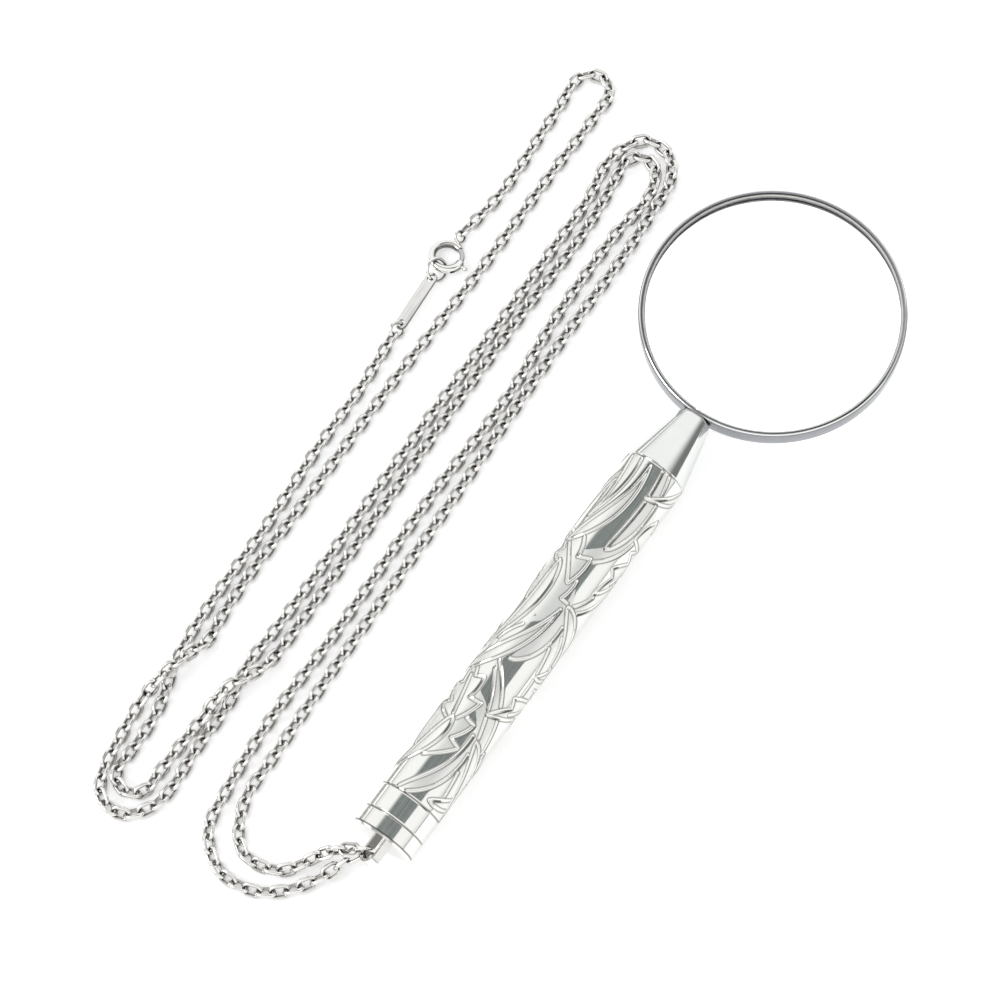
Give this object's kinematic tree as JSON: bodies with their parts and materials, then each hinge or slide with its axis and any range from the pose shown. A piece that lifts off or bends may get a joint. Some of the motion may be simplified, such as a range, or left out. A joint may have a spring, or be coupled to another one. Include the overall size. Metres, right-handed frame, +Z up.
{
  "type": "pendant magnifying glass",
  "caption": "Pendant magnifying glass: a round framed lens on an engraved tubular handle, with a bail at the tail and a long cable-link neck chain closed by a spring ring clasp.",
  "frame": {"origin": "on the table, under the middle of the box of lens, handle and bail", "axes": "+X along the handle towards the lens, +Z up out of the table, +Y to the side on which the chain lies"},
  "size_m": [0.1378, 0.07, 0.01],
  "materials": {
    "silver": "bright polished silver with light wear",
    "polished_silver": "mirror polished silver, slightly darker",
    "optical_glass": "clear polished optical glass",
    "steel": "plain turned and drawn steel"
  },
  "bodies": {
    "pendant": {"lens": "optical_glass", "lens_frame": "polished_silver", "retaining_ring": "silver", "frame_stud": "steel", "ferrule": "polished_silver", "front_plug": "steel", "barrel": "silver", "end_cap": "silver", "bail": "silver", "bail_ring": "silver", "clasp_body": "silver", "clasp_stop": "steel", "clasp_spring": "steel", "clasp_eye": "silver", "hook_ring": "silver", "tag_plate": "silver", "tag_ring": "silver", "tag_chain_1": "silver", "tag_chain_2": "silver", "tag_chain_3": "silver", "clasp_chain_1": "silver", "clasp_chain_2": "silver", "clasp_chain_3": "silver", "clasp_chain_4": "silver"},
    "clasp_bolt_unit": {"clasp_bolt": "steel", "clasp_trigger": "silver"}
  },
  "joints": [
    {"name": "clasp_bolt_open", "type": "hinge", "parent": "pendant", "child": "clasp_bolt_unit", "pos_m": [0.02253, 0.04704, 0.00108], "axis": [-0.1799, -0.0126, -0.9836], "range_deg": [0, 36], "stiffness_Nm_per_rad": 0.004, "springref_deg": -20.05, "deforming": ["clasp_spring"]}
  ]
}
